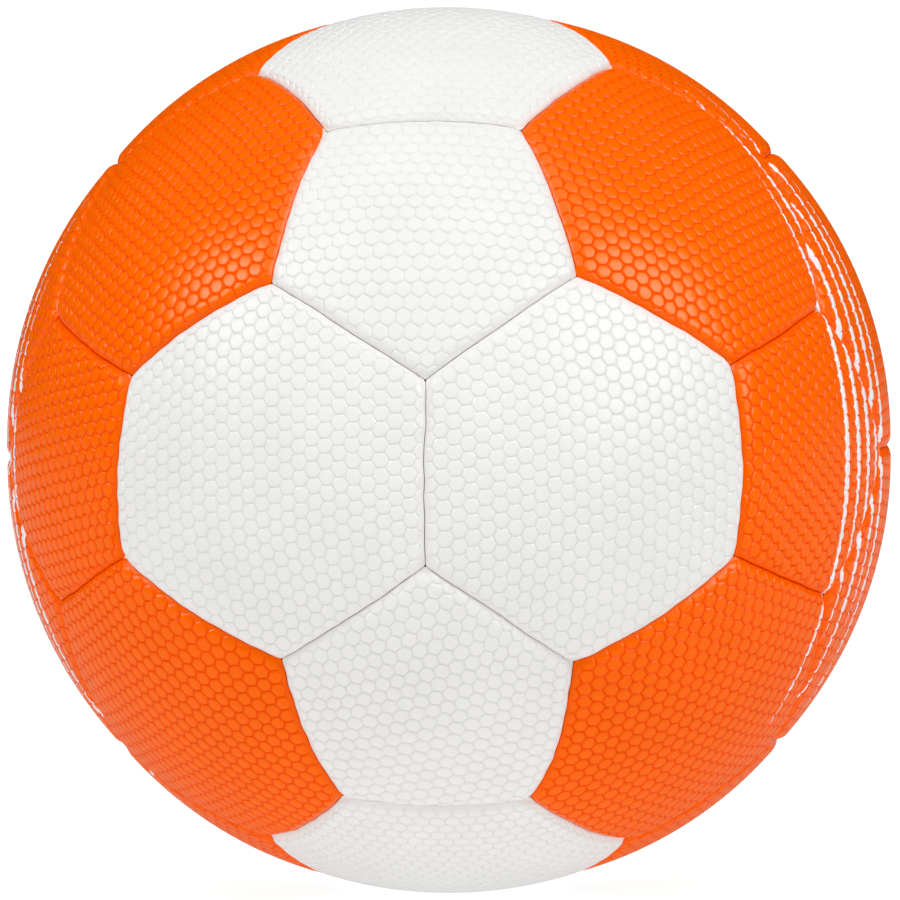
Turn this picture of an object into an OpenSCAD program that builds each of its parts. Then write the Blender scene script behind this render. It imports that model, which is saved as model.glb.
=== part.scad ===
// Hand-stitched handball: 12 pentagon and 20 hexagon panels round a rubber bladder.
// The middle of the ball is the origin. The front looks along -Y, and +Z is up.

/* [Ball] */
// Girth over the middle of the panels
ball_girth = 590; // [500:1:600]
// How much lower the middle of a panel's edge lies than the panel's middle
panel_puff = 0.4; // [0.25:0.05:0.6]

/* [Cover panels] */
// Thickness of the embossed synthetic leather
skin_t = 1.2; // [0.9:0.05:1.5]
// Depth of the seam line under the ball's surface
seam_depth = 1.15; // [0.9:0.05:1.4]
// Radius of the rolled edge of a panel
edge_roll_r = 3.2; // [2.4:0.1:4]
// Gap between the folded edges of two panels
seam_gap = 0.1; // [0.06:0.01:0.2]

/* [Backing] */
// Thickness of the foam behind the leather
foam_t = 1.2; // [0.8:0.1:1.6]
// Thickness of the woven lining behind the foam
lining_t = 0.6; // [0.4:0.1:0.9]
// Gap between one layer and the next
layer_gap = 0.1; // [0.05:0.01:0.2]

/* [Seam thread] */
// Thickness of the thread
thread_d = 0.8; // [0.5:0.05:1]
// Length at each end of an edge that its run of thread stops short
thread_end_gap = 2; // [1.8:0.1:4]

/* [Bladder] */
// Thickness of the bladder's rubber
bladder_t = 0.9; // [0.6:0.1:1.5]
// Gap between the bladder and the folded edges that press on it
bladder_gap = 0.15; // [0.1:0.05:0.4]

/* [Valve] */
// Diameter of the valve's stem
stem_d = 6.4; // [5.8:0.1:7]
// Gap round the stem where it passes through the layers
stem_gap = 0.25; // [0.15:0.05:0.4]
// How far the stem's end lies under the panel's surface
stem_sink = 0.35; // [0.2:0.05:0.6]
// Diameter of the valve's round base inside the bladder
valve_base_d = 26; // [20:1:32]
// Thickness of the valve's round base
valve_base_t = 1.5; // [1:0.1:2]
// Length of the stem inside the valve's base
stem_tail = 5; // [4:0.5:7]
// Diameter of the plug in the stem
plug_d = 4; // [3.6:0.1:4.4]
// Diameter of the plug's head, which sits in the mouth of the stem
plug_head_d = 5; // [4.6:0.1:5.2]
// Thickness of the plug's head
plug_head_t = 0.9; // [0.6:0.1:1.2]
// Gap round the plug
plug_gap = 0.06; // [0.04:0.01:0.1]
// Thickness of rubber left under the plug
plug_floor_t = 1; // [0.8:0.1:1.4]
// Diameter of the channel for the inflating needle
needle_hole_d = 2.1; // [2:0.05:2.4]
// Thickness of rubber that closes the channel's inner end
needle_seal_t = 1.6; // [1:0.1:2.5]
// Width of the slit through that rubber
slit_w = 0.2; // [0.1:0.05:0.3]
// Length of the slit through that rubber
slit_l = 1.6; // [1.2:0.1:2]
// Diameter of the reinforcement patch round the stem
patch_d = 38; // [34:1:44]
// Thickness of the reinforcement patch
patch_t = 0.6; // [0.4:0.1:0.8]

/* [Hidden] */
// Numbers of sides of the two kinds of panel
hex = 6;
pent = 5;
// Radius of the ball over the middle of the panels
ball_r = ball_girth / (2 * PI);
// The golden section, from which the panels' directions follow
golden = (1 + sqrt(5)) / 2;
// Ball radius over panel edge length, for this regular solid with flat faces
edge_share = sqrt(58 + 18 * sqrt(5)) / 4;
// Size of the blocks that trim the panels, and the overrun of a cut
block = 2.4 * ball_r;
overrun = skin_t;
// Arc of a rolled edge's cutting ring, longer than any panel edge
ring_angle = 48;
// How far the rolled edge's arc stands over the panel where they meet
roll_lift = skin_t / 24;

// Directions of the panels' middles, by kind and colour
white_pentagons = [for (y = [-1, 1], z = [1, -1]) [0, y * golden, z]];
orange_pentagons = concat(
  [for (z = [1, -1], x = [-1, 1]) [x, 0, z * golden]],
  [for (y = [-1, 1], x = [-1, 1]) [x * golden, y, 0]]
);
white_hexagons = concat(
  [for (y = [-1, 1], x = [-1, 1]) [x * golden, y * (1 + 2 * golden), 0]],
  [for (y = [-1, 1], z = [1, -1]) [0, y * golden, z * (1 + 2 * golden)]]
);
orange_hexagons = concat(
  [for (z = [1, -1], x = [-1, 1]) [x * (1 + 2 * golden), 0, z * golden]],
  [for (y = [-1, 1], z = [1, -1], x = [-1, 1]) [x, y, z]]
);
all_pentagons = concat(white_pentagons, orange_pentagons);
all_hexagons = concat(white_hexagons, orange_hexagons);
// The valve sits in the middle of a white hexagon at the back
valve_panel = white_hexagons[3];

// A panel's name says where it lies, then its colour and its kind
function place_words(d) = str(
  d[1] < 0 ? "front_" : d[1] > 0 ? "back_" : "",
  d[2] > 0 ? "upper_" : d[2] < 0 ? "lower_" : "",
  d[0] < 0 ? "left_" : d[0] > 0 ? "right_" : ""
);
function panel_names(list, words) = [for (d = list) str(place_words(d), words)];
white_pentagon_names = panel_names(white_pentagons, "white_pentagon");
orange_pentagon_names = panel_names(orange_pentagons, "orange_pentagon");
white_hexagon_names = panel_names(white_hexagons, "white_hexagon");
orange_hexagon_names = panel_names(orange_hexagons, "orange_hexagon");

$fn = 180;

// Angles at the ball's middle, from a panel's middle to its corner and to the middle of its edge
function corner_angle(sides) = asin(1 / (2 * sin(180 / sides) * edge_share));
function edge_angle(sides) = atan(tan(corner_angle(sides)) * cos(180 / sides));
// Angle at the ball's middle that half of an edge spans
half_edge_angle = asin(1 / (2 * edge_share));

// A panel's face is part of a smaller sphere, moved outwards so that its edges lie panel_puff lower
edge_r = ball_r - panel_puff;
function puff_shift(sides) =
  (ball_r ^ 2 - edge_r ^ 2) / (2 * (ball_r - edge_r * cos(edge_angle(sides))));
function corner_r(sides) =
  puff_shift(sides) * cos(corner_angle(sides))
  + sqrt((ball_r - puff_shift(sides)) ^ 2 - (puff_shift(sides) * sin(corner_angle(sides))) ^ 2);

// Depths of the layers under the panel's face
foam_depth = skin_t + layer_gap;
lining_depth = foam_depth + foam_t + layer_gap;
stack_depth = lining_depth + lining_t;
// The thread lies just under the lowest corner of the lining, and the folded edges reach as deep as the thread
thread_r = corner_r(pent) - stack_depth - layer_gap - thread_d / 2;
fold_end_r = thread_r - thread_d / 2;
thread_inset = seam_gap / 2 + skin_t + layer_gap + thread_d / 2;
thread_angle = 2 * (half_edge_angle - thread_end_gap / ball_r * 180 / PI);
// The bladder presses on the folded edges
bladder_r = fold_end_r - bladder_gap;
valve_base_r = bladder_r - bladder_t - layer_gap;
stem_top = ball_r - stem_sink;
stem_foot = valve_base_r - valve_base_t - stem_tail;
plug_foot = stem_foot + plug_floor_t;
stem_hole_d = stem_d + 2 * stem_gap;

// Middle of the rolled edge's arc: its distance from the ball's middle, and from the seam plane
roll_centre_r = edge_r + roll_lift - edge_roll_r;
roll_inset = sqrt(edge_roll_r ^ 2 - (ball_r - seam_depth - roll_centre_r) ^ 2);

// Turns of a panel: away from +Z, round Z, and round its own middle so that its corners meet its neighbours'
function tilt(d) = acos(d[2] / norm(d));
function heading(d) = atan2(d[1], d[0]);
function next_pentagon(d) = [
  for (v = all_pentagons) if (v * d > 0.4 * norm(v) * norm(d) && v * d < 0.99 * norm(v) * norm(d)) v
][0];
function own_turn(d, v) = atan2(
  v * [-sin(heading(d)), cos(heading(d)), 0],
  v * [cos(tilt(d)) * cos(heading(d)), cos(tilt(d)) * sin(heading(d)), -sin(tilt(d))]
);
function sides_turn(sides) = sides == hex ? 180 / sides : 0;

// Carries a panel-shaped piece from the top of the ball to its place
module at_panel(d, sides) {
  rotate([0, tilt(d), heading(d)])
  rotate([0, 0, own_turn(d, next_pentagon(d)) + sides_turn(sides)])
  children();
}

// Stands on one seam of the panel at the top of the ball: X points out of the panel, square to the seam's plane
module at_seam(sides, number) {
  rotate([0, 0, (number + 0.5) * 360 / sides])
  rotate([0, edge_angle(sides), 0])
  children();
}

// All that lies inside the panel's seam planes, moved in by the inset
module panel_wedge(sides, inset) {
  intersection_for (number = [0 : sides - 1])
  at_seam(sides, number)
  translate([-block - inset, -block / 2, -block / 2])
  cube(block);
}

// The panel's face sphere, lowered by the depth
module face_ball(sides, depth) {
  translate([0, 0, puff_shift(sides)])
  sphere(ball_r - puff_shift(sides) - depth);
}

// The ring that rounds a panel's edge down into the seam
module edge_roll_cut() {
  rotate([0, -90, 0])
  rotate([0, 0, -ring_angle / 2])
  rotate_extrude(angle = ring_angle)
  difference() {
    translate([roll_centre_r, -overrun])
    square([edge_roll_r + 2 * overrun, roll_inset + overrun]);
    translate([roll_centre_r, roll_inset])
    circle(edge_roll_r);
  }
}

// One cover panel at the top of the ball: leather with its edges rolled over and folded inwards
module cover_panel(sides) {
  difference() {
    intersection() {
      face_ball(sides, 0);
      panel_wedge(sides, seam_gap / 2);
    }
    intersection() {
      face_ball(sides, skin_t);
      panel_wedge(sides, seam_gap / 2 + skin_t);
    }
    sphere(fold_end_r);
    for (number = [0 : sides - 1])
    at_seam(sides, number)
    edge_roll_cut();
  }
}

// One backing layer at the top of the ball
module backing_layer(sides, depth, thickness) {
  intersection() {
    difference() {
      face_ball(sides, depth);
      face_ball(sides, depth + thickness);
    }
    panel_wedge(sides, seam_gap / 2 + skin_t + layer_gap);
  }
}

// The runs of thread along one panel's folded edges
module panel_thread(sides) {
  for (number = [0 : sides - 1])
  at_seam(sides, number)
  rotate([0, -90, 0])
  rotate([0, 0, -thread_angle / 2])
  rotate_extrude(angle = thread_angle)
  translate([thread_r, thread_inset])
  circle(d = thread_d);
}

// The hole for the valve's stem through the layers under its panel
module stem_hole() {
  at_panel(valve_panel, hex)
  cylinder(d = stem_hole_d, h = ball_r + overrun);
}

module hexagon_panel(d, tint) {
  color(tint)
  difference() {
    at_panel(d, hex) cover_panel(hex);
    if (d == valve_panel) stem_hole();
  }
}

module pentagon_panel(d, tint) {
  color(tint)
  at_panel(d, pent)
  cover_panel(pent);
}

module hexagon_backing(depth, thickness) {
  difference() {
    for (d = all_hexagons) at_panel(d, hex) backing_layer(hex, depth, thickness);
    stem_hole();
  }
}

module pentagon_backing(depth, thickness) {
  for (d = all_pentagons) at_panel(d, pent) backing_layer(pent, depth, thickness);
}

module hexagon_foam_backing() {
  color("lightgray") hexagon_backing(foam_depth, foam_t);
}

module pentagon_foam_backing() {
  color("lightgray") pentagon_backing(foam_depth, foam_t);
}

module hexagon_fabric_lining() {
  color("beige") hexagon_backing(lining_depth, lining_t);
}

module pentagon_fabric_lining() {
  color("beige") pentagon_backing(lining_depth, lining_t);
}

module hexagon_seam_thread() {
  color("white")
  for (d = all_hexagons) at_panel(d, hex) panel_thread(hex);
}

module pentagon_seam_thread() {
  color("white")
  for (d = all_pentagons) at_panel(d, pent) panel_thread(pent);
}

// Rubber balloon with the hole that the valve's stem passes through
module bladder() {
  color("dimgray")
  difference() {
    sphere(bladder_r);
    sphere(bladder_r - bladder_t);
    stem_hole();
  }
}

// Ring stuck on the outside of the bladder round the stem
module valve_reinforcement_patch() {
  color("black")
  difference() {
    intersection() {
      sphere(bladder_r + layer_gap + patch_t);
      at_panel(valve_panel, hex) cylinder(d = patch_d, h = ball_r);
    }
    sphere(bladder_r + layer_gap);
    stem_hole();
  }
}

// Round base against the inside of the bladder, with the stem through its middle
module valve_body() {
  color("darkslategray")
  at_panel(valve_panel, hex)
  difference() {
    union() {
      difference() {
        intersection() {
          sphere(valve_base_r);
          cylinder(d = valve_base_d, h = ball_r);
        }
        sphere(valve_base_r - valve_base_t);
      }
      translate([0, 0, stem_foot])
      cylinder(d = stem_d, h = stem_top - stem_foot);
    }
    translate([0, 0, plug_foot - plug_gap])
    cylinder(d = plug_d + 2 * plug_gap, h = ball_r);
    translate([0, 0, stem_top - plug_head_t - plug_gap])
    cylinder(d = plug_head_d + 2 * plug_gap, h = ball_r);
    translate([-slit_l / 2, -slit_w / 2, stem_foot - overrun])
    cube([slit_l, slit_w, block]);
  }
}

// Headed rubber core with the needle's channel and the slit that seals it
module valve_plug() {
  color("black")
  at_panel(valve_panel, hex)
  difference() {
    union() {
      translate([0, 0, plug_foot])
      cylinder(d = plug_d, h = stem_top - plug_foot);
      translate([0, 0, stem_top - plug_head_t])
      cylinder(d = plug_head_d, h = plug_head_t);
    }
    translate([0, 0, plug_foot + needle_seal_t])
    cylinder(d = needle_hole_d, h = ball_r);
    translate([-slit_l / 2, -slit_w / 2, plug_foot - overrun])
    cube([slit_l, slit_w, overrun + needle_seal_t + needle_hole_d]);
  }
}

for (i = [0 : len(white_hexagons) - 1])
  hexagon_panel(white_hexagons[i], "white");
for (i = [0 : len(orange_hexagons) - 1])
  hexagon_panel(orange_hexagons[i], "orangered");
for (i = [0 : len(white_pentagons) - 1])
  pentagon_panel(white_pentagons[i], "white");
for (i = [0 : len(orange_pentagons) - 1])
  pentagon_panel(orange_pentagons[i], "orangered");
hexagon_foam_backing();
pentagon_foam_backing();
hexagon_fabric_lining();
pentagon_fabric_lining();
hexagon_seam_thread();
pentagon_seam_thread();
bladder();
valve_reinforcement_patch();
valve_body();
valve_plug();
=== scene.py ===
# Dresses the hand-stitched ball: the cover panels get their embossed leather, and the layers, the
# bladder and the valve under them get their finishes.
import math
from itertools import combinations

import bpy
import numpy as np
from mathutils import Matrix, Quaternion, Vector


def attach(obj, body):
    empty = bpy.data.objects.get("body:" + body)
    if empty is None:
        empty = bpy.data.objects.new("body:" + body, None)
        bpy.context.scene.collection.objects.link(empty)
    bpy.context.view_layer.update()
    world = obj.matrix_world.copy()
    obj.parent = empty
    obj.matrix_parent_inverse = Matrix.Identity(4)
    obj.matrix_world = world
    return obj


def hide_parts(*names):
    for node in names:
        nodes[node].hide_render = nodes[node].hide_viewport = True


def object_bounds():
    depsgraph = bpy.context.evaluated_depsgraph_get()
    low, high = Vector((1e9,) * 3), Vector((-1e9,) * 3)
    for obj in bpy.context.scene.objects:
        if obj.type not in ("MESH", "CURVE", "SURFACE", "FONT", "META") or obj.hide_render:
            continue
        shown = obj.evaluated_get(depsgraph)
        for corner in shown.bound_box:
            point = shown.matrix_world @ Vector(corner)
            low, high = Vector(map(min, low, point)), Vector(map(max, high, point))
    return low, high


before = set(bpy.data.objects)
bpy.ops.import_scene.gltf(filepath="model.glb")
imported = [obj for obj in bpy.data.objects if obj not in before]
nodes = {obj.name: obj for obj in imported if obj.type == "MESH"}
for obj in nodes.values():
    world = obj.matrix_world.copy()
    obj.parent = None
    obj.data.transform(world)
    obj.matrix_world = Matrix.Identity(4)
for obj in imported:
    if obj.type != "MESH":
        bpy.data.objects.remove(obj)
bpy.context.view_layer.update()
scene = bpy.context.scene
mm = 0.001
sameSpot = 1e-4 * mm  # corners closer than this are one


def nodePoints(name):
    # All corners of a CAD node as rows of X, Y, Z
    mesh = nodes[name].data
    points = np.empty(len(mesh.vertices) * 3, np.float32)
    mesh.vertices.foreach_get("co", points)
    return points.reshape(-1, 3).astype(float)


# Sizes of the ball, read from the frame
panelReach = np.linalg.norm(nodePoints("front_left_white_hexagon"), axis=1)
ballRadius = float(panelReach.max())
foldFoot = float(panelReach.min())  # radius at which the folded edges end


# Camera
photoView = {
    "pictureSide": 900,  # pixels
    "outlineRadius": 443.8,  # pixels
    "middle": (448.7, 449.2),  # pixels from the left and the top
    "distance": 13.2,  # in ball radii
    "ballTurn": (2.86, -0.72, -3.07),  # degrees, the ball's turn before a lens that looks along +Y
}


def makeCamera(view):
    # Focal length in pixels = outline radius x square root of (distance squared - 1)
    focal = view["outlineRadius"] * math.sqrt(view["distance"] ** 2 - 1)
    data = bpy.data.cameras.new("photo_camera")
    data.lens = data.sensor_width * focal / view["pictureSide"]
    data.shift_x = 0.5 - view["middle"][0] / view["pictureSide"]
    data.shift_y = view["middle"][1] / view["pictureSide"] - 0.5
    turn = Vector([math.radians(a) for a in view["ballTurn"]])
    back = Quaternion(turn.normalized(), turn.length).inverted()
    camera = bpy.data.objects.new("photo_camera", data)
    camera.rotation_mode = "QUATERNION"
    camera.rotation_quaternion = back @ Quaternion((1, 0, 0), math.pi / 2)
    camera.location = back @ Vector((0, -view["distance"] * ballRadius, 0))
    scene.collection.objects.link(camera)
    scene.camera = camera


makeCamera(photoView)
print("camera placed, ball radius in mm:", round(ballRadius / mm, 2))


# The 32 panels: where each lies, its sides and its colour
golden = (1 + math.sqrt(5)) / 2
edgeShare = math.sqrt(58 + 18 * math.sqrt(5)) / 4  # ball radius over edge length, with flat faces
neighbourCosine = 0.64  # two panels share a seam where the cosine between their middles is above this


def placeWords(d):
    # The words for front or back, upper or lower, and left or right, from the signs of Y, Z and X
    words = [(d[1], "back_", "front_"), (d[2], "upper_", "lower_"), (d[0], "right_", "left_")]
    return "".join(plus if value > 0 else minus for value, plus, minus in words if value)


def listPanels():
    whitePentagons = [(0, y * golden, z) for y in (-1, 1) for z in (1, -1)]
    orangePentagons = [(x, 0, z * golden) for z in (1, -1) for x in (-1, 1)]
    orangePentagons += [(x * golden, y, 0) for y in (-1, 1) for x in (-1, 1)]
    long = 1 + 2 * golden
    whiteHexagons = [(x * golden, y * long, 0) for y in (-1, 1) for x in (-1, 1)]
    whiteHexagons += [(0, y * golden, z * long) for y in (-1, 1) for z in (1, -1)]
    orangeHexagons = [(x * long, 0, z * golden) for z in (1, -1) for x in (-1, 1)]
    orangeHexagons += [(x, y, z) for y in (-1, 1) for z in (1, -1) for x in (-1, 1)]
    kinds = [(whiteHexagons, 6, "white"), (orangeHexagons, 6, "orange")]
    kinds += [(whitePentagons, 5, "white"), (orangePentagons, 5, "orange")]
    panels = []
    for directions, sides, colour in kinds:
        shape = "hexagon" if sides == 6 else "pentagon"
        for d in directions:
            middle = np.array(d, float) / np.linalg.norm(d)
            name = placeWords(d) + colour + "_" + shape
            panels.append({"name": name, "middle": middle, "sides": sides, "colour": colour})
    return panels


panels = listPanels()
middles = np.array([panel["middle"] for panel in panels])


def cornerAngle(sides):
    # Angle at the ball's middle between a panel's middle and its corner
    return math.asin(1 / (2 * math.sin(math.pi / sides) * edgeShare))


def edgeAngle(sides):
    # And between a panel's middle and the middle of its edge
    return math.atan(math.tan(cornerAngle(sides)) * math.cos(math.pi / sides))


def panelAxes(panel):
    # Rows X, Y and Z of a panel: Z out of its middle, X towards its first neighbour that is a pentagon, or
    # towards its first one where none is
    z = panel["middle"]
    near = [p for p in panels if p is not panel and p["middle"] @ z > neighbourCosine]
    first = ([p for p in near if p["sides"] == 5] or near)[0]["middle"]
    x = first - (first @ z) * z
    x /= np.linalg.norm(x)
    return np.array([x, np.cross(z, x), z])


# Leather cover
leather = {
    "puff": 0.4 * mm,  # how much lower the middle of an edge lies than the panel's middle
    "thickness": 1.2 * mm,
    "seamGap": 0.1 * mm,
    "rollWidth": 2.45 * mm,  # width of the edge that rolls down into the seam
    "rollRadius": 3.2 * mm,
    "cornerPit": 0.35,  # slope of the pit where three panels meet
    "cornerCut": 0.2 * mm,  # from there to each panel's blunted corner
    "rowShares": (0.03, 0.1, 0.22, 0.4, 0.65, 1.0),  # rows of corners along a rolled edge
    "puckerHeight": 0.05 * mm,
    "puckerPitch": 5.2 * mm,  # one stitch
    "puckerReach": 2.6 * mm,
    "puckerSeed": 500,
    "valveHole": 6.9 * mm,
    "holeRollWidth": 0.6 * mm,
    "holeRollDepth": 0.3 * mm,
    "innerSteps": 16,  # corners along each edge of the inner face
}
cells = {
    "pitch": 3.2 * mm,
    "turns": {6: 30, 5: 8},  # degrees, for a panel of six or five sides
    "turnSpread": 3,
    "seed": 100,
    "overlap": 1 * mm,  # how far the cells reach past a panel's corners before they are trimmed
    "depth": 0.32 * mm,
    "flank": 0.16 * mm,  # from the groove's middle to halfway up the cell's side
    "flankRelief": 0.55,  # relief there
    "shoulder": 0.4 * mm,  # from the groove's middle to the flat top
    "cornerRound": 0.1,  # share by which the tops' corners are drawn in
    "fade": 1.3 * mm,  # the relief dies out over this much of the edge
    "cornerFade": 5.0 * mm,  # and where the distances to two seams add up to less than this
}
handwork = {
    "waver": 0.16 * mm,  # long sideways waves of the seams
    "ripple": 0.11 * mm,  # short ones
    "stitchTug": 0.07 * mm,  # and the shortest, about a stitch long
    "dent": 0.07 * mm,  # unevenness of the surface
    "waves": 9,
    "waveNumbers": (5, 11),
    "rates": (1.6, 5.2, 13),  # how many times shorter the three kinds of seam wave are than the dents
    "seed": 11,
    "stillDepth": 2 * mm,  # the folds' feet stay in place, and the shifts are whole this far above them
    "cornerReach": 19.5 * mm,
    # Corners sewn off their place: where, in ball radii, and how far, in mm, to the right and up
    "cornerShifts": {
        (-0.05, 0.16): (0.5, -0.6),
        (0.3, 0.39): (0.0, 0.3),
        (-0.26, 0.73): (-2.0, 0.0),
        (-0.71, 0.16): (0.5, -0.2),
        (0.65, 0.19): (0.0, 1.0),
        (-0.72, -0.25): (-1.5, 1.0),
        (-0.38, -0.48): (1.0, -0.3),
        (0.3, -0.48): (-2.0, -0.9),
        (-0.23, -0.79): (-0.7, 0.3),
        (0.19, -0.79): (0.0, -0.5),
        (-0.44, 0.85): (0.2, 0.6),
        (0.38, 0.87): (-1.1, 0.9),
        (-0.41, -0.86): (0.8, 0.9),
        (0.41, -0.88): (0.0, -0.7),
        (-0.89, 0.3): (0.8, -0.1),
        (0.85, 0.32): (-0.8, -0.1),
        (-0.88, -0.33): (0.7, 1.4),
        (0.86, -0.33): (0.0, 1.2),
    },
    "bowReach": 18 * mm,
    "usualBow": 1.0,  # how far a white panel's seams with the orange ones bow outwards, in mm
    "bows": {
        ("front_left_white_hexagon", "front_upper_left_orange_hexagon"): 1.3,
        ("front_left_white_hexagon", "front_lower_left_orange_hexagon"): 0.8,
        ("front_left_white_hexagon", "front_left_orange_pentagon"): 1.5,
        ("front_right_white_hexagon", "front_lower_right_orange_hexagon"): 1.4,
        ("front_right_white_hexagon", "front_right_orange_pentagon"): 1.2,
        ("front_upper_white_hexagon", "front_upper_left_orange_hexagon"): -1.0,
        ("front_upper_white_hexagon", "front_upper_right_orange_hexagon"): 0.0,
        ("front_upper_white_hexagon", "upper_left_orange_pentagon"): 1.8,
        ("front_upper_white_hexagon", "upper_right_orange_pentagon"): 2.0,
        ("front_lower_white_hexagon", "front_lower_left_orange_hexagon"): -0.8,
        ("front_lower_white_hexagon", "front_lower_right_orange_hexagon"): -0.5,
        ("front_lower_white_hexagon", "lower_right_orange_pentagon"): 1.4,
        ("front_upper_white_pentagon", "front_upper_left_orange_hexagon"): 0.8,
        ("front_upper_white_pentagon", "front_upper_right_orange_hexagon"): 0.6,
        ("front_lower_white_pentagon", "front_lower_right_orange_hexagon"): 1.7,
    },
}
valvePanel = "back_right_white_hexagon"
cellTurns = {"front_right_orange_pentagon": 26, "front_upper_white_pentagon": 4}  # degrees


def cellLattice(reach, turn, phase):
    # Flat map of the embossing: cell middles lie on whole steps along two directions 60 degrees apart.
    # Each cell has rings of 12 corners at the groove, halfway up its side and at its flat top, and a
    # middle. Places are complex numbers; relief is 0 in the groove and 1 on top.
    pitch = cells["pitch"]
    slanted = 1.2  # a row of cells lies less than a pitch from the next, so the reach takes more of them
    count = int(reach / pitch * slanted) + 2
    a, b = np.meshgrid(np.arange(-count, count + 1), np.arange(-count, count + 1))
    middle = (pitch * (a + b * np.exp(1j * math.pi / 3)) + phase).ravel() * np.exp(1j * turn)
    middle = middle[np.abs(middle) < reach + pitch]
    spoke = np.exp(1j * (turn + np.arange(12) * math.pi / 6))
    atCorner = np.arange(12) % 2
    slant = 1 / math.cos(math.pi / 6) ** atCorner
    groove = pitch / 2 * slant
    flank = (pitch / 2 - cells["flank"]) * slant * (1 - cells["cornerRound"] / 2 * atCorner)
    top = (pitch / 2 - cells["shoulder"]) * slant * (1 - cells["cornerRound"] * atCorner)
    rings = np.array([groove, flank, top]) * spoke
    rings = (middle[:, None, None] + rings).reshape(len(middle), 36)
    place = np.concatenate([rings, middle[:, None]], axis=1)
    relief = np.broadcast_to(np.repeat([0.0, cells["flankRelief"], 1.0, 1.0], [12, 12, 12, 1]), place.shape)
    k = np.arange(12)
    n = (k + 1) % 12
    faces = [np.stack([r + k, r + n, r + 12 + n], 1) for r in (0, 12)]
    faces += [np.stack([r + k, r + 12 + n, r + 12 + k], 1) for r in (0, 12)]
    faces += [np.stack([24 + k, 24 + n, 36 + 0 * k], 1)]
    triangles = (np.concatenate(faces)[None] + 37 * np.arange(len(middle))[:, None, None]).reshape(-1, 3)
    # Neighbouring cells share the corners of their groove
    key, first, back = np.unique(np.round(place.ravel() / sameSpot), return_index=True, return_inverse=True)
    return place.ravel()[first], relief.ravel()[first], back[triangles]


def ontoBall(place):
    # A place on the flat map keeps its direction, and its distance from the panel's middle becomes an arc
    angle = np.abs(place) / ballRadius
    share = np.sinc(angle / math.pi) / ballRadius
    return np.stack([place.real * share, place.imag * share, np.cos(angle)], 1)


def splitAlong(points, triangles, distance):
    # Cuts each triangle that the line distance = 0 crosses. A new corner on an edge is the mean of its
    # two ends, each weighted by the other's distance.
    away = distance(points)
    side = np.where(np.abs(away) < sameSpot, 0, np.sign(away)).astype(int)
    sides = side[triangles]
    crossed = (sides.min(1) < 0) & (sides.max(1) > 0)
    cut, sides = triangles[crossed], sides[crossed]
    touching = (sides == 0).any(1)
    lone = np.where(touching, (sides == 0).argmax(1), (sides == -sides.sum(1, keepdims=True)).argmax(1))
    cut = np.take_along_axis(cut, (lone[:, None] + np.arange(3)) % 3, 1)
    a, b = cut[touching], cut[~touching]
    ends = np.concatenate([a[:, [1, 2]], b[:, [0, 1]], b[:, [0, 2]]])
    edges, back = np.unique(np.sort(ends, 1), axis=0, return_inverse=True)
    share = (away[edges[:, 0]] / (away[edges[:, 0]] - away[edges[:, 1]]))[:, None]
    added = points[edges[:, 0]] * (1 - share) + points[edges[:, 1]] * share
    back = back.ravel() + len(points)
    m, p, q = back[: len(a)], back[len(a) : len(a) + len(b)], back[len(a) + len(b) :]
    pieces = [triangles[~crossed]]
    pieces += [np.stack([a[:, 0], a[:, 1], m], 1), np.stack([a[:, 0], m, a[:, 2]], 1)]
    pieces += [np.stack([b[:, 0], p, q], 1), np.stack([p, b[:, 1], b[:, 2]], 1)]
    pieces += [np.stack([p, b[:, 2], q], 1)]
    return np.concatenate([points, added]), np.concatenate(pieces)


def trimBeyond(points, triangles, distance):
    # Cuts along distance = 0 and drops what lies beyond it, then the corners that nothing uses
    points, triangles = splitAlong(points, triangles, distance)
    triangles = triangles[distance(points)[triangles].mean(1) < 0]
    used, back = np.unique(triangles, return_inverse=True)
    return points[used], back.reshape(-1, 3)


def seamNormals(sides, lean, start=0.0):
    # One row a seam, which lies at the angle lean from the panel's middle: the unit vector out of the
    # panel, square to the plane through the seam and the ball's middle
    angle = (np.arange(sides) + start) * 2 * math.pi / sides
    return np.stack(
        [math.cos(lean) * np.cos(angle), math.cos(lean) * np.sin(angle), np.full(sides, -math.sin(lean))], 1
    )


def beyondSeam(normal, inset):
    # How far a point of the ball lies beyond a line parallel to a seam
    return lambda p: ballRadius * np.arcsin(p[:, :3] @ normal / np.linalg.norm(p[:, :3], axis=1)) + inset


def insideHole(p):
    # How far a point lies inside the valve's hole
    away = ballRadius * np.hypot(p[:, 0], p[:, 1]) / np.linalg.norm(p[:, :3], axis=1)
    return leather["valveHole"] / 2 - away


def faceRadius(height, sides):
    # The face is part of a smaller sphere moved outwards by s: s cos + square root of (r^2 - s^2 sin^2)
    low = ballRadius - leather["puff"]
    shift = (ballRadius**2 - low**2) / (2 * (ballRadius - low * math.cos(edgeAngle(sides))))
    return shift * height + np.sqrt((ballRadius - shift) ** 2 - shift**2 * (1 - height**2))


def smoothStep(x):
    x = np.clip(x, 0, 1)
    return x * x * (3 - 2 * x)


def puckers(unit, normals, seed):
    # How much lower the leather lies for its stitches: one small wave a stitch along each seam, which dies
    # out away from it
    random = np.random.default_rng(seed)
    drop = np.zeros(len(unit))
    for normal, start in zip(normals, random.uniform(0, 2 * math.pi, len(normals))):
        along = np.cross([0, 0, 1.0], normal)
        along /= np.linalg.norm(along)
        foot = np.cross(normal, along)
        arc = ballRadius * np.arctan2(unit @ along, unit @ foot)
        wave = np.sin(2 * math.pi * arc / leather["puckerPitch"] + start)
        near = np.exp(-((unit @ normal) * ballRadius / leather["puckerReach"]) ** 2)
        drop += leather["puckerHeight"] * wave * near
    return drop


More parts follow.
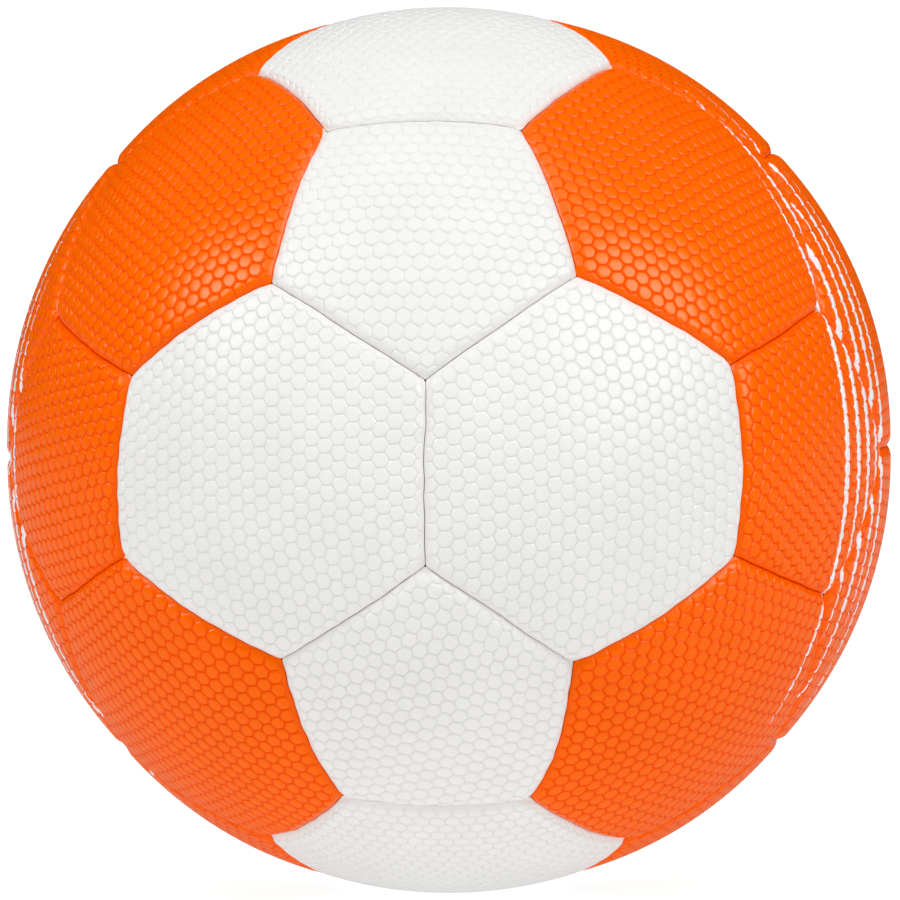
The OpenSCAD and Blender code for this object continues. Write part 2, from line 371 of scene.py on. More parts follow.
def outerSurface(points, sides, holed, seed):
    # Moves the outer face to its radius: its sphere, less an arc of the roll's radius at each seam, less
    # the puckers and the grooves. Also gives each point's relief and its distance from the nearest seam.
    unit = points[:, :3] / np.linalg.norm(points[:, :3], axis=1)[:, None]
    normals = seamNormals(sides, edgeAngle(sides))
    inward = -ballRadius * np.arcsin(unit @ normals.T)
    reach = np.sqrt((np.clip(leather["rollWidth"] - inward, 0, leather["rollWidth"]) ** 2).sum(1))
    rolled = np.minimum(reach, leather["rollWidth"])
    drop = leather["rollRadius"] - np.sqrt(leather["rollRadius"] ** 2 - rolled**2)
    drop += leather["cornerPit"] * (reach - rolled)
    nearest = np.sort(inward, 1)
    grooves = smoothStep(nearest[:, 0] / cells["fade"])
    grooves *= smoothStep(nearest[:, :2].sum(1) / cells["cornerFade"])
    if holed:
        outward = -insideHole(points)
        rim = np.clip(1 - outward / leather["holeRollWidth"], 0, 1)
        drop += leather["holeRollDepth"] * (1 - np.sqrt(1 - rim**2))
        grooves *= smoothStep(outward / cells["fade"])
    drop += puckers(unit, normals, seed)
    groove = (1 - points[:, 3]) * grooves
    radius = faceRadius(unit[:, 2], sides) - drop - cells["depth"] * groove
    return unit * radius[:, None], 1 - groove, nearest[:, 0]


def borderLoops(triangles, points):
    # Corners on edges that only one triangle has, the outer loop and the hole's, each sorted by its
    # direction round the panel's middle
    edges = np.sort(np.concatenate([triangles[:, [0, 1]], triangles[:, [1, 2]], triangles[:, [2, 0]]]), 1)
    edges, uses = np.unique(edges, axis=0, return_counts=True)
    border = np.unique(edges[uses == 1])
    angle = np.arctan2(points[border, 1], points[border, 0])
    border = border[np.argsort(angle)]
    wide = np.hypot(points[border, 0], points[border, 1]) > leather["valveHole"]
    return border[wide], border[~wide]


def sewLoops(outer, inner, points):
    # Strip of triangles between two loops with any numbers of corners. Going round, each step on one loop
    # is closed with the last corner passed on the other.
    outerAngle = np.arctan2(points[outer, 1], points[outer, 0])
    innerAngle = np.arctan2(points[inner, 1], points[inner, 0])
    outerNext = np.roll(outer, -1)
    innerNext = np.roll(inner, -1)
    lastInner = inner[np.searchsorted(innerAngle, np.roll(outerAngle, -1), side="right") - 1]
    lastOuter = outer[np.searchsorted(outerAngle, np.roll(innerAngle, -1), side="right") - 1]
    return np.concatenate(
        [np.stack([lastInner, outerNext, outer], 1), np.stack([inner, innerNext, lastOuter], 1)]
    )


def innerLoops(sides, holed):
    # Loops of the folded edge's inner side and of the inner face, from the fold's foot to the middle: the
    # panel's outline on a flat plane, drawn in by the leather's thickness and then towards the middle
    count = leather["innerSteps"] * sides
    angle = -math.pi + (np.arange(count) + 0.25) * 2 * math.pi / count
    step = 2 * math.pi / sides
    straight = math.tan(edgeAngle(sides)) / np.cos((angle + step / 2) % step - step / 2)
    inset = leather["thickness"] + leather["seamGap"] / 2
    share = 1 - inset * np.sqrt(1 + straight**2) / (foldFoot * math.sin(edgeAngle(sides)))
    hole = math.tan(leather["valveHole"] / 2 / ballRadius) if holed else 0.0
    loops = []
    for inward in (None, 0, 0.25, 0.5, 0.75, 1) if holed else (None, 0, 0.25, 0.5, 0.75):
        wide = straight * share
        if inward is not None:
            wide = wide * (1 - inward) + hole * inward
        unit = np.stack([wide * np.cos(angle), wide * np.sin(angle), np.ones(count)], 1)
        unit /= np.linalg.norm(unit, axis=1)[:, None]
        radius = foldFoot
        if inward is not None:
            radius = (faceRadius(unit[:, 2], sides) - leather["thickness"])[:, None]
        loops.append(unit * radius)
    return loops


def meetingPoint(three):
    # The corner that three panels share lies at each one's corner angle from its middle
    sides = [panels[m]["sides"] for m in three]
    height = [math.cos(cornerAngle(n)) for n in sides]
    corner = np.linalg.solve(middles[list(three)], height)
    return corner / np.linalg.norm(corner)


def shiftedCorners():
    # The listed corners that were sewn off their place, each with its shift along the ball: the two parts
    # seen from the front, and the depth that keeps it square to the ball's radius
    near = middles @ middles.T > neighbourCosine
    threes = combinations(range(len(panels)), 3)
    threes = [t for t in threes if near[t[0], t[1]] and near[t[1], t[2]] and near[t[0], t[2]]]
    corners = np.array([meetingPoint(t) for t in threes])
    corners = corners[corners[:, 1] < 0]
    found = []
    for (right, up), (shiftRight, shiftUp) in handwork["cornerShifts"].items():
        corner = corners[np.argmin(np.hypot(corners[:, 0] - right, corners[:, 2] - up))]
        depth = -(shiftRight * corner[0] + shiftUp * corner[2]) / corner[1]
        found.append((corner, np.array([shiftRight, depth, shiftUp]) * mm))
    return found


def bowedSeams():
    # The middle of each seam between a white and an orange panel, with the push out of the white one there
    found = []
    for white in [panel for panel in panels if panel["colour"] == "white"]:
        for other in [panel for panel in panels if panel["colour"] == "orange"]:
            if other["middle"] @ white["middle"] < neighbourCosine:
                continue
            outward = other["middle"] - (other["middle"] @ white["middle"]) * white["middle"]
            outward /= np.linalg.norm(outward)
            lean = edgeAngle(white["sides"])
            seam = math.cos(lean) * white["middle"] + math.sin(lean) * outward
            bow = handwork["bows"].get((white["name"], other["name"]), handwork["usualBow"])
            found.append((seam, bow * mm * outward))
    return found


def handworkWarp(points):
    # Small hand-made unevenness, one for the whole ball so that neighbours still meet. Sideways: a sum of
    # sines, and a bell-shaped push at each shifted corner and each bowed seam. In and out: a sum of sines.
    radius = np.linalg.norm(points, axis=1)
    unit = points / radius[:, None]
    random = np.random.default_rng(handwork["seed"])
    shift = np.zeros_like(points)
    lift = np.zeros(len(points))
    long, short, shortest = handwork["rates"]
    for _ in range(handwork["waves"]):
        wave = random.normal(size=3)
        wave *= random.uniform(*handwork["waveNumbers"]) / np.linalg.norm(wave)
        phase = random.uniform(0, 2 * math.pi, 2)
        push = random.normal(size=3)
        shift += np.sin(unit @ wave * long + phase[0])[:, None] * push * handwork["waver"] / 2
        shift += np.sin(unit @ wave * short + phase[1])[:, None] * push * handwork["ripple"] / 2
        shift += np.sin(unit @ wave * shortest + phase[0])[:, None] * push * handwork["stitchTug"] / 2
        lift += np.sin(unit @ wave + phase[1]) * handwork["dent"] / 2
    for places, reach in ((cornerPushes, handwork["cornerReach"]), (seamPushes, handwork["bowReach"])):
        for place, push in places:
            gap = np.linalg.norm(unit - place, axis=1) * ballRadius
            shift += np.exp(-((gap / reach) ** 2))[:, None] * push
    depth = np.clip((radius - foldFoot) / handwork["stillDepth"], 0, 1)
    shift -= (shift * unit).sum(1)[:, None] * unit
    moved = points + shift * depth[:, None]
    moved *= (radius / np.linalg.norm(moved, axis=1))[:, None]
    return moved + (lift * depth)[:, None] * unit


cornerPushes = shiftedCorners()
seamPushes = bowedSeams()


def creasedNormals(points, triangles, relief):
    # A corner's normal is the mean of its faces' normals, each weighted by its area to the power 1.5, so
    # that the wide tops stay nearly flat. At the foot of a groove a face uses its own corners' mean, each
    # weighted by its relief, which leaves a crease there.
    first, second, third = points[triangles.T]
    square = np.cross(second - first, third - first)
    square *= np.sqrt(np.linalg.norm(square, axis=1))[:, None]
    used = triangles.ravel()
    shared = [np.bincount(used, np.repeat(square[:, axis], 3), len(points)) for axis in range(3)]
    shared = (np.stack(shared, 1) / np.linalg.norm(shared, axis=0)[:, None])[triangles]
    relief = relief[triangles][:, :, None]
    faint = 0.001  # keeps the sum above nothing where all three corners lie in a groove
    higher = (shared * (relief + faint)).sum(1, keepdims=True)
    low = np.clip(1 - 2 * relief, 0, 1)
    normals = shared * (1 - low) + higher / np.linalg.norm(higher, axis=2, keepdims=True) * low
    return normals / np.linalg.norm(normals, axis=2, keepdims=True)


def newPiece(name, points, triangles, material, values):
    # Each key of values becomes an attribute with a number for each point
    mesh = bpy.data.meshes.new(name)
    mesh.from_pydata(points, [], triangles)
    for key, numbers in values.items():
        layer = mesh.attributes.new(key, "FLOAT", "POINT")
        layer.data.foreach_set("value", numbers.astype(np.float32))
    mesh.materials.append(material)
    mesh.shade_smooth()
    normals = creasedNormals(points, triangles, values["relief"])
    mesh.normals_split_custom_set(normals.reshape(-1, 3))
    piece = bpy.data.objects.new(name, mesh)
    scene.collection.objects.link(piece)
    return piece


def cutOuterFace(panel, seed):
    # The embossed face on its sphere, trimmed at its seams and corners and at the valve's hole, with rows
    # of corners where the edges roll
    sides = panel["sides"]
    random = np.random.default_rng(seed)
    usual = cells["turns"][sides] + random.uniform(-cells["turnSpread"], cells["turnSpread"])
    turn = math.radians(cellTurns.get(panel["name"], usual))
    phase = cells["pitch"] * complex(*random.uniform(-0.5, 0.5, 2))
    reach = ballRadius * cornerAngle(sides) + cells["overlap"]
    place, relief, triangles = cellLattice(reach, turn, phase)
    points = np.column_stack([ontoBall(place), relief])
    for normal in seamNormals(sides, edgeAngle(sides)):
        points, triangles = trimBeyond(points, triangles, beyondSeam(normal, leather["seamGap"] / 2))
    for normal in seamNormals(sides, cornerAngle(sides), 0.5):
        points, triangles = trimBeyond(points, triangles, beyondSeam(normal, leather["cornerCut"]))
    for normal in seamNormals(sides, edgeAngle(sides)):
        for share in leather["rowShares"]:
            row = beyondSeam(normal, leather["seamGap"] / 2 + share * leather["rollWidth"])
            points, triangles = splitAlong(points, triangles, row)
    if panel["name"] == valvePanel:
        points, triangles = trimBeyond(points, triangles, insideHole)
        for share in leather["rowShares"]:
            row = lambda p: insideHole(p) + share * leather["holeRollWidth"]
            points, triangles = splitAlong(points, triangles, row)
    return points, triangles


def closePanel(surface, triangles, sides, holed):
    # Adds the folded edge and the inner face: a strip of triangles from each loop to the next, and at last
    # the hole's edge, or a fan to the middle where there is no hole
    rim, hole = borderLoops(triangles, surface)
    foot = surface[rim] * (foldFoot / np.linalg.norm(surface[rim], axis=1))[:, None]
    parts = [surface, foot] + innerLoops(sides, holed)
    starts = np.cumsum([0] + [len(part) for part in parts])
    points = np.concatenate(parts)
    loops = [rim] + [np.arange(a, b) for a, b in zip(starts[1:-1], starts[2:])]
    if holed:
        loops.append(hole)
    faces = [triangles] + [sewLoops(a, b, points) for a, b in zip(loops[:-1], loops[1:])]
    if not holed:
        last = loops[-1]
        points = np.concatenate([points, [[0, 0, faceRadius(1.0, sides) - leather["thickness"]]]])
        faces.append(np.stack([np.full(len(last), len(points) - 1), np.roll(last, -1), last], 1))
    return points, np.concatenate(faces)


def makeCoverPanel(panel, number, material):
    # The panel's number seeds its own turn, cells and puckers
    sides = panel["sides"]
    holed = panel["name"] == valvePanel
    face, triangles = cutOuterFace(panel, cells["seed"] + number)
    surface, relief, inward = outerSurface(face, sides, holed, leather["puckerSeed"] + number)
    points, triangles = closePanel(surface, triangles, sides, holed)
    points = handworkWarp(points @ panelAxes(panel))
    hidden = len(points) - len(surface)
    values = {
        "relief": np.concatenate([relief, np.ones(hidden)]),
        "edge": np.concatenate([inward, np.zeros(hidden)]) / mm,
    }
    piece = newPiece("cover_" + panel["name"], points, triangles, material, values)
    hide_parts(panel["name"])
    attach(piece, "root")
    return len(piece.data.polygons)


# Finishes
finishes = {
    "white": {
        "top": (0.795, 0.79, 0.778),
        # painted shade in the grooves: darker than the tops
        "groove": (0.77, 0.765, 0.75),
        # painted shade of the edge that rolls into the seam: darker than the tops
        "edge": (0.79, 0.775, 0.75),
        "gloss": 0.1,
        "glossTint": (1.0, 1.0, 1.0),
    },
    "orange": {
        "top": (0.965, 0.137, 0.0),
        # painted shade in the grooves: darker than the tops
        "groove": (0.9, 0.08, 0.0),
        # painted shade of the edge that rolls into the seam: darker than the tops
        "edge": (0.955, 0.111, 0.0),
        "gloss": 0.29,
        "glossTint": (1.0, 0.85, 1.0),
    },
    "roughness": 0.3,
    "grooveDulling": 0.1,  # how much rougher the grooves are
    "grainDulling": 0.12,
    "grain": 2600,  # waves a metre
    "grainHeight": 0.015 * mm,
    "clouds": 60,  # waves a metre
    "cloudDepth": 0.08,  # share of the tone
    "seamShadeReach": 1.6,  # how far from the seam the rolled edge's painted shade reaches, in mm
    # how much of the rolled edge's painted shade shows right at the seam
    "edgeShare": 0.8,
}


def startMaterial(name):
    material = bpy.data.materials.new(name)
    material.use_nodes = True
    return material, material.node_tree, material.node_tree.nodes["Principled BSDF"]


def addNode(tree, kind, inputs=None, **settings):
    # A node with its settings, and each input either linked to a socket or set to a value
    node = tree.nodes.new(kind)
    for key, value in settings.items():
        setattr(node, key, value)
    for key, value in (inputs or {}).items():
        if isinstance(value, bpy.types.NodeSocket):
            tree.links.new(value, node.inputs[key])
        else:
            node.inputs[key].default_value = value
    return node


def calc(tree, operation, *values, clamp=False):
    # One step of arithmetic on sockets or numbers
    node = addNode(tree, "ShaderNodeMath", dict(enumerate(values)), operation=operation, use_clamp=clamp)
    return node.outputs[0]


def mixColour(tree, share, a, b, blend="MIX"):
    # The colour inputs of a Mix node are its sockets 6 and 7, and its colour output is socket 2
    node = addNode(tree, "ShaderNodeMix", {0: share, 6: a, 7: b}, data_type="RGBA", blend_type=blend)
    return node.outputs[2]


def opaque(colour):
    return (*colour, 1)


def shaded(tree, tone, level):
    # A colour times a level of brightness
    grey = addNode(tree, "ShaderNodeCombineColor", {0: level, 1: level, 2: level}).outputs[0]
    return mixColour(tree, 1, tone, grey, "MULTIPLY")


def addNoise(tree, place, scale, detail):
    # Scale is in waves a metre
    noise = {"Vector": place, "Scale": scale, "Detail": detail}
    return addNode(tree, "ShaderNodeTexNoise", noise).outputs["Fac"]


def addBump(tree, shader, height, distance):
    # Surface relief of the given height in metres
    bump = addNode(tree, "ShaderNodeBump", {"Height": height, "Distance": distance, "Strength": 1})
    tree.links.new(bump.outputs[0], shader.inputs["Normal"])


def makeLeather(colour):
    # Tops, grooves and rolled edges each have their tone, with soft clouds over them. The grooves' darker
    # tone is painted shade, and so is the darker tone of the edges towards the seams. The grain is a fine
    # noise, and the grooves are rougher than the tops.
    tint = finishes[colour]
    material, tree, shader = startMaterial(colour + "_embossed_leather")
    place = addNode(tree, "ShaderNodeTexCoord").outputs["Object"]
    relief = addNode(tree, "ShaderNodeAttribute", attribute_name="relief").outputs["Fac"]
    edge = addNode(tree, "ShaderNodeAttribute", attribute_name="edge").outputs["Fac"]
    clouds = addNoise(tree, place, finishes["clouds"], 3)
    grain = addNoise(tree, place, finishes["grain"], 4)
    # painted shade along the rolled edges: the tone turns to the edge's darker one near the seam
    seamShade = calc(tree, "SUBTRACT", 1, calc(tree, "DIVIDE", edge, finishes["seamShadeReach"]), clamp=True)
    # painted shade in the grooves: the tone runs from the groove's darker one to the top's with the relief
    tone = mixColour(tree, relief, opaque(tint["groove"]), opaque(tint["top"]))
    seamShade = calc(tree, "MULTIPLY", seamShade, finishes["edgeShare"])
    tone = mixColour(tree, seamShade, tone, opaque(tint["edge"]))
    cloudy = calc(tree, "MULTIPLY_ADD", clouds, finishes["cloudDepth"], 1 - finishes["cloudDepth"] / 2)
    tone = shaded(tree, tone, cloudy)
    if colour == "orange":
        tone = mixColour(tree, pinStripes(tree, place), tone, opaque(stripes["colour"]))
    tree.links.new(tone, shader.inputs["Base Color"])
    dullest = finishes["roughness"] + finishes["grooveDulling"] - finishes["grainDulling"] / 2
    dull = calc(tree, "MULTIPLY_ADD", grain, finishes["grainDulling"], dullest)
    dull = calc(tree, "MULTIPLY_ADD", relief, -finishes["grooveDulling"], dull)
    tree.links.new(dull, shader.inputs["Roughness"])
    shader.inputs["Specular IOR Level"].default_value = tint["gloss"]
    shader.inputs["Specular Tint"].default_value = opaque(tint["glossTint"])
    addBump(tree, shader, grain, finishes["grainHeight"])
    return material


stripes = {
    "colour": (0.86, 0.82, 0.84),
    "first": 67.8,  # degrees of longitude from the front or the back
    "lean": 4.3,  # the right side's stripes lie this much nearer, the left side's this much further
    "spacing": 3.6,
    "count": 5,
    "width": 1.8 * mm,
    "reach": 58 * mm,  # half the length of a stripe
    "stagger": 9 * mm,
    "lift": 10 * mm,  # the right side's stripes sit this much higher, the left side's this much lower
    "edgeWaves": 700,  # waves a metre of the print's edge
    "roughShare": 0.3,  # share of the width
    "fade": 0.08 * mm,
}


def pinStripes(tree, place):
    # Plain stripes at even steps of longitude, widest halfway and tapering to both ends like a lens. Every
    # other stripe sits higher or lower by the stagger, and each side's by the lift. A noise makes the
    # print's edge a little rough.
    axes = addNode(tree, "ShaderNodeSeparateXYZ", {0: place}).outputs
    side = calc(tree, "ABSOLUTE", axes[0])
    deep = calc(tree, "ABSOLUTE", axes[1])
    longitude = calc(tree, "DEGREES", calc(tree, "ARCTAN2", side, deep))
    first = calc(tree, "MULTIPLY_ADD", calc(tree, "SIGN", axes[0]), -stripes["lean"], stripes["first"])
    steps = calc(tree, "DIVIDE", calc(tree, "SUBTRACT", longitude, first), stripes["spacing"])
    number = calc(tree, "MAXIMUM", calc(tree, "ROUND", steps), 0)
    number = calc(tree, "MINIMUM", number, stripes["count"] - 1)
    stepWidth = math.radians(stripes["spacing"])
    squares = [calc(tree, "POWER", length, 2) for length in (side, deep)]
    outward = calc(tree, "SQRT", calc(tree, "ADD", *squares))
    offset = calc(tree, "ABSOLUTE", calc(tree, "SUBTRACT", steps, number))
    offset = calc(tree, "MULTIPLY", calc(tree, "MULTIPLY", offset, stepWidth), outward)
    odd = calc(tree, "MODULO", number, 2)
    middle = calc(tree, "MULTIPLY_ADD", odd, 2 * stripes["stagger"], -stripes["stagger"])
    middle = calc(tree, "MULTIPLY_ADD", calc(tree, "SIGN", axes[0]), stripes["lift"], middle)
    along = calc(tree, "DIVIDE", calc(tree, "SUBTRACT", axes[2], middle), stripes["reach"])
    taper = calc(tree, "SUBTRACT", 1, calc(tree, "POWER", along, 2), clamp=True)
    rough = addNoise(tree, place, stripes["edgeWaves"], 2)
    rough = calc(tree, "MULTIPLY_ADD", rough, stripes["roughShare"], 1 - stripes["roughShare"] / 2)
    width = calc(tree, "MULTIPLY", calc(tree, "MULTIPLY", taper, stripes["width"] / 2), rough)
    printed = calc(tree, "DIVIDE", calc(tree, "SUBTRACT", width, offset), stripes["fade"])
    printed = calc(tree, "ADD", printed, 0.5, clamp=True)
    return calc(tree, "MULTIPLY", printed, calc(tree, "GREATER_THAN", taper, 0.0))


leathers = {colour: makeLeather(colour) for colour in ("white", "orange")}
faceCount = 0
for number, panel in enumerate(panels):
    faceCount += makeCoverPanel(panel, number, leathers[panel["colour"]])
print("32 cover panels,", faceCount, "triangles")


# Layers, bladder and valve under the cover, which keep their CAD shapes
inside = {
    "foam": {
        "colour": (0.78, 0.77, 0.72),
        "pores": 1400,
        "poreDepth": 0.12 * mm,
        "clouds": 90,
        "cloudDepth": 0.15,  # shares of the tone, on top of the darkest
        # painted shade: how much lighter a pore's rim is than its middle
        "poreShade": 0.35,
        "darkest": 0.72,
        "roughness": 0.85,
        "gloss": 0.15,
    },
    "lining": {
        "colour": (0.74, 0.72, 0.66),
        "pitch": 0.9 * mm,
        "weaveHeight": 0.1 * mm,
        "slubs": 500,
        "slubDepth": 0.2,
        # painted shade: how much lighter the weave's high places are than its low ones
        "weaveShade": 0.2,
        "darkest": 0.65,
        "roughness": 0.9,
        "gloss": 0.1,
    },
    "thread": {
        "colour": (0.86, 0.85, 0.8),
        "strands": 600,
        "strandHeight": 0.08 * mm,
        "bend": 2.0,
        # painted shade: how much lighter the strands' crests are than their furrows
        "strandShade": 0.3,
        "darkest": 0.68,
        "roughness": 0.6,
        "strandSheen": 0.15,  # how much smoother the strands' crests are
    },
    "bladder": {
        "colour": (0.028, 0.028, 0.03),
        "dust": (0.2, 0.2, 0.19),
        "dusting": 0.35,
        "roughness": 0.55,
    },
    "patch": {
        "colour": (0.04, 0.038, 0.036),
        "dust": (0.16, 0.16, 0.15),
        "dusting": 0.2,
        "roughness": 0.62,
    },
    "valve": {
        "colour": (0.022, 0.022, 0.023),
        "dust": (0.1, 0.1, 0.1),
        "dusting": 0.12,
        "roughness": 0.42,
    },
    "plug": {
        "colour": (0.4, 0.25, 0.14),
        "dust": (0.62, 0.5, 0.36),
        "dusting": 0.25,
        "roughness": 0.5,
    },
    "rubberSkin": {
        "clouds": 70,
        "cloudMiddle": 0.6,
        "cloudSlope": 3,
        "pores": 1800,
        "poreDust": (0.8, 0.3),  # share of the dust that a pore adds, and the share between the pores
        "poreDulling": 0.1,
        "dustDulling": 0.3,
        "height": 0.03 * mm,
        "gloss": 0.4,
    },
}


def makeFoam():
    # Closed cells: the distance to each pore's middle dents the surface, and darkens it towards the middle
    # as painted shade in the pores
    foam = inside["foam"]
    material, tree, shader = startMaterial("backing_foam")
    place = addNode(tree, "ShaderNodeTexCoord").outputs["Object"]
    pores = {"Vector": place, "Scale": foam["pores"]}
    pores = addNode(tree, "ShaderNodeTexVoronoi", pores).outputs["Distance"]
    clouds = addNoise(tree, place, foam["clouds"], 3)
    cloudy = calc(tree, "MULTIPLY_ADD", clouds, foam["cloudDepth"], foam["darkest"])
    # painted shade: darker towards each pore's middle, where the surface dents
    level = calc(tree, "MULTIPLY_ADD", pores, foam["poreShade"], cloudy, clamp=True)
    tree.links.new(shaded(tree, opaque(foam["colour"]), level), shader.inputs["Base Color"])
    shader.inputs["Roughness"].default_value = foam["roughness"]
    shader.inputs["Specular IOR Level"].default_value = foam["gloss"]
    addBump(tree, shader, pores, foam["poreDepth"])
    return material


def makeLining():
    # Plain weave along longitude and latitude: where the product of the two waves is positive the warp
    # is on top, elsewhere the weft. The tone follows the bump: lighter where the warp is on top and darker
    # where the weft is, painted shade in the weave's low places.
    lining = inside["lining"]
    material, tree, shader = startMaterial("woven_lining")
    place = addNode(tree, "ShaderNodeTexCoord").outputs["Object"]
    x, y, z = addNode(tree, "ShaderNodeSeparateXYZ", {0: place}).outputs
    flat = calc(tree, "SQRT", calc(tree, "ADD", calc(tree, "POWER", x, 2), calc(tree, "POWER", y, 2)))
    turns = foldFoot * 2 * math.pi / lining["pitch"]
    warp = calc(tree, "SINE", calc(tree, "MULTIPLY", calc(tree, "ARCTAN2", y, x), turns / 2))
    weft = calc(tree, "SINE", calc(tree, "MULTIPLY", calc(tree, "ARCTAN2", z, flat), turns / 2))
    crossing = calc(tree, "MULTIPLY_ADD", calc(tree, "MULTIPLY", warp, weft), 0.5, 0.5)
    slubs = addNoise(tree, place, lining["slubs"], 3)
    uneven = calc(tree, "MULTIPLY_ADD", slubs, lining["slubDepth"], lining["darkest"])
    # painted shade: the level rises with the bump's height
    level = calc(tree, "MULTIPLY_ADD", crossing, lining["weaveShade"], uneven, clamp=True)
    tree.links.new(shaded(tree, opaque(lining["colour"]), level), shader.inputs["Base Color"])
    shader.inputs["Roughness"].default_value = lining["roughness"]
    shader.inputs["Specular IOR Level"].default_value = lining["gloss"]
    addBump(tree, shader, crossing, lining["weaveHeight"])
    return material


def makeThread():
    # Twisted strands, drawn as slanting bands that a noise bends, under a thin coat of wax. The bands'
    # furrows are darker than their crests: painted shade.
    thread = inside["thread"]
    material, tree, shader = startMaterial("waxed_seam_thread")
    place = addNode(tree, "ShaderNodeTexCoord").outputs["Object"]
    bands = {"Vector": place, "Scale": thread["strands"], "Distortion": thread["bend"], "Detail": 2}
    strands = addNode(tree, "ShaderNodeTexWave", bands, bands_direction="DIAGONAL").outputs["Fac"]
    # painted shade: the level rises with the bands' height
    level = calc(tree, "MULTIPLY_ADD", strands, thread["strandShade"], thread["darkest"])
    tree.links.new(shaded(tree, opaque(thread["colour"]), level), shader.inputs["Base Color"])
    rough = calc(tree, "MULTIPLY_ADD", strands, -thread["strandSheen"], thread["roughness"])
    tree.links.new(rough, shader.inputs["Roughness"])
    addBump(tree, shader, strands, thread["strandHeight"])
    return material


def makeRubber(name):
    # Rubber with a fine skin. Talc lies on it in clouds, where a noise passes the share that stays bare.
    rubber, skinned = inside[name], inside["rubberSkin"]
    material, tree, shader = startMaterial(name + "_rubber")
    place = addNode(tree, "ShaderNodeTexCoord").outputs["Object"]
    clouds = addNoise(tree, place, skinned["clouds"], 6)
    skin = addNoise(tree, place, skinned["pores"], 3)
    dusty = calc(tree, "SUBTRACT", clouds, skinned["cloudMiddle"] - rubber["dusting"] / 2)
    dusty = calc(tree, "MULTIPLY", dusty, skinned["cloudSlope"], clamp=True)
    dusty = calc(tree, "MULTIPLY", dusty, calc(tree, "MULTIPLY_ADD", skin, *skinned["poreDust"]))
    tone = mixColour(tree, dusty, opaque(rubber["colour"]), opaque(rubber["dust"]))
    tree.links.new(tone, shader.inputs["Base Color"])
    bare = rubber["roughness"] - skinned["poreDulling"] / 2
    rough = calc(tree, "MULTIPLY_ADD", dusty, skinned["dustDulling"], bare)
    rough = calc(tree, "MULTIPLY_ADD", skin, skinned["poreDulling"], rough)
    tree.links.new(rough, shader.inputs["Roughness"])
    shader.inputs["Specular IOR Level"].default_value = skinned["gloss"]
    addBump(tree, shader, skin, skinned["height"])
    return material


def finishInside():
    # Gives each CAD node that stays its own finish, in every material slot it has
    foam, lining, thread = makeFoam(), makeLining(), makeThread()
    chosen = {"hexagon_foam_backing": foam, "pentagon_foam_backing": foam}
    chosen.update({"hexagon_fabric_lining": lining, "pentagon_fabric_lining": lining})
    chosen.update({"hexagon_seam_thread": thread, "pentagon_seam_thread": thread})
    chosen.update({"bladder": makeRubber("bladder"), "valve_reinforcement_patch": makeRubber("patch")})
    chosen.update({"valve_body": makeRubber("valve"), "valve_plug": makeRubber("plug")})
    for name, material in chosen.items():
        for slot in nodes[name].material_slots:
            slot.material = material
    return len(chosen)


print(finishInside(), "inside pieces finished")


# Studio
studio = {
    "sky": {"above": 0.73, "front": 0.51, "behind": 0.74, "span": (-0.2, 0.6)},  # light from all round
    "skyGloss": 0.055,  # share of it that shows in gloss
    "softboxes": {  # they show in gloss alone
        "top": {"from": (0.03, -0.6, 0.8), "reach": 37, "edge": 8, "level": 2.3},
        "left": {"from": (-0.74, -0.4, 0.55), "reach": 13, "edge": 4, "level": 16.0},
        "right": {"from": (0.72, -0.48, 0.45), "reach": 21, "edge": 4, "level": 13.5},
    },
    "backdrop": {"front": 0.84, "behind": 1.1, "span": (0.0, 0.8)},  # what the camera sees round the ball
    "floorTone": 0.2,
    "floorGlow": 0.93,  # the white floor is lit from below, as a light table is
    "floorGloss": 0.25,  # share of the glow that shows in gloss
    "floorReach": 14.0,
    "blackPoint": 0.015,
    "lights": {
        "left": {"from": (-0.35, -0.4, 0.85), "spread": 30, "strength": 0.72},
        "right": {"from": (0.35, -0.4, 0.85), "spread": 30, "strength": 0.96},
    },
}


def smoothRamp(tree, value, span, low, high):
    # A smooth step from low to high while the value goes over the span
    levels = {"Value": value, 1: span[0], 2: span[1], 3: low, 4: high}
    return addNode(tree, "ShaderNodeMapRange", levels, interpolation_type="SMOOTHSTEP").outputs[0]


def pickLevel(tree, share, whenNone, whenAll):
    return addNode(tree, "ShaderNodeMix", {0: share, 2: whenNone, 3: whenAll}, data_type="FLOAT").outputs[0]


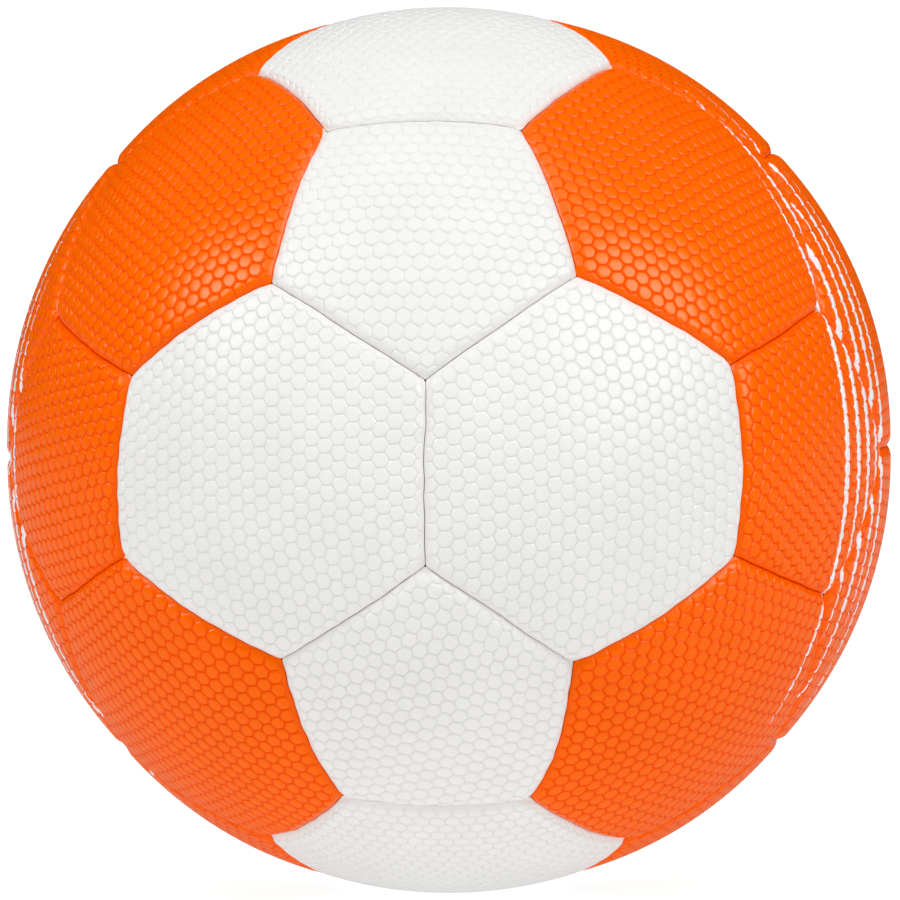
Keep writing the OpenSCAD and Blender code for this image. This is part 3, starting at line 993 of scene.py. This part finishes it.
def makeSky():
    # The sky runs from the front's level to the level behind by a smooth step on the direction's Y, and
    # to the level above by a smooth step on its Z. Gloss shows a share of it and the brightest of three
    # round softboxes, whose edges are smooth steps on the cosine of the angle from the middle. The camera
    # sees a backdrop instead, which also runs from front to behind by a smooth step on Y.
    world = bpy.data.worlds.new("studio")
    world.use_nodes = True
    tree = world.node_tree
    sky = studio["sky"]
    direction = addNode(tree, "ShaderNodeTexCoord").outputs["Generated"]
    axes = addNode(tree, "ShaderNodeSeparateXYZ", {0: direction}).outputs
    around = smoothRamp(tree, axes[1], sky["span"], sky["front"], sky["behind"])
    level = smoothRamp(tree, axes[2], (0.0, 1.0), around, sky["above"])
    brightest = 0.0
    for box in studio["softboxes"].values():
        aim = {0: direction, 1: Vector(box["from"]).normalized()}
        cosine = addNode(tree, "ShaderNodeVectorMath", aim, operation="DOT_PRODUCT").outputs["Value"]
        rim = [math.cos(math.radians(box["reach"] + side * box["edge"])) for side in (1, -1)]
        brightest = calc(tree, "MAXIMUM", brightest, smoothRamp(tree, cosine, rim, 0.0, box["level"]))
    gloss = calc(tree, "MULTIPLY_ADD", level, studio["skyGloss"], brightest)
    rays = addNode(tree, "ShaderNodeLightPath").outputs
    level = pickLevel(tree, rays["Is Glossy Ray"], level, gloss)
    seen = studio["backdrop"]
    backdrop = smoothRamp(tree, axes[1], seen["span"], seen["front"], seen["behind"])
    level = pickLevel(tree, rays["Is Camera Ray"], level, backdrop)
    background = tree.nodes["Background"]
    background.inputs["Color"].default_value = (1, 1, 1, 1)
    tree.links.new(level, background.inputs["Strength"])
    scene.world = world


def makeLights():
    # Two soft lights above the camera, one at each side, and the picture's black point
    for name, light in studio["lights"].items():
        data = bpy.data.lights.new(name + "_light", "SUN")
        data.angle = math.radians(light["spread"])
        data.energy = light["strength"]
        lamp = bpy.data.objects.new(name + "_light", data)
        lamp.rotation_euler = (-Vector(light["from"])).to_track_quat("-Z", "Y").to_euler()
        lamp.location = Vector(light["from"])
        lamp.visible_glossy = False
        scene.collection.objects.link(lamp)
    settings = scene.view_settings
    settings.view_transform = "Standard"
    settings.use_curve_mapping = True
    settings.curve_mapping.black_level = (studio["blackPoint"],) * 3
    settings.curve_mapping.update()


def makeFloor():
    # A square under the ball that glows evenly. Gloss shows only a share of the glow.
    material, tree, shader = startMaterial("pale_floor")
    shader.inputs["Base Color"].default_value = opaque((studio["floorTone"],) * 3)
    shader.inputs["Emission Color"].default_value = (1, 1, 1, 1)
    glossy = addNode(tree, "ShaderNodeLightPath").outputs["Is Glossy Ray"]
    lost = studio["floorGlow"] * (studio["floorGloss"] - 1)
    glow = calc(tree, "MULTIPLY_ADD", glossy, lost, studio["floorGlow"])
    tree.links.new(glow, shader.inputs["Emission Strength"])
    shader.inputs["Roughness"].default_value = 1.0
    shader.inputs["Specular IOR Level"].default_value = 0.0
    r = studio["floorReach"]
    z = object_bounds()[0][2]
    mesh = bpy.data.meshes.new("floor")
    mesh.from_pydata([(-r, -r, z), (r, -r, z), (r, r, z), (-r, r, z)], [], [(0, 1, 2, 3)])
    mesh.materials.append(material)
    floor = bpy.data.objects.new("floor", mesh)
    scene.collection.objects.link(floor)


makeSky()
makeLights()
makeFloor()
print("studio lit")
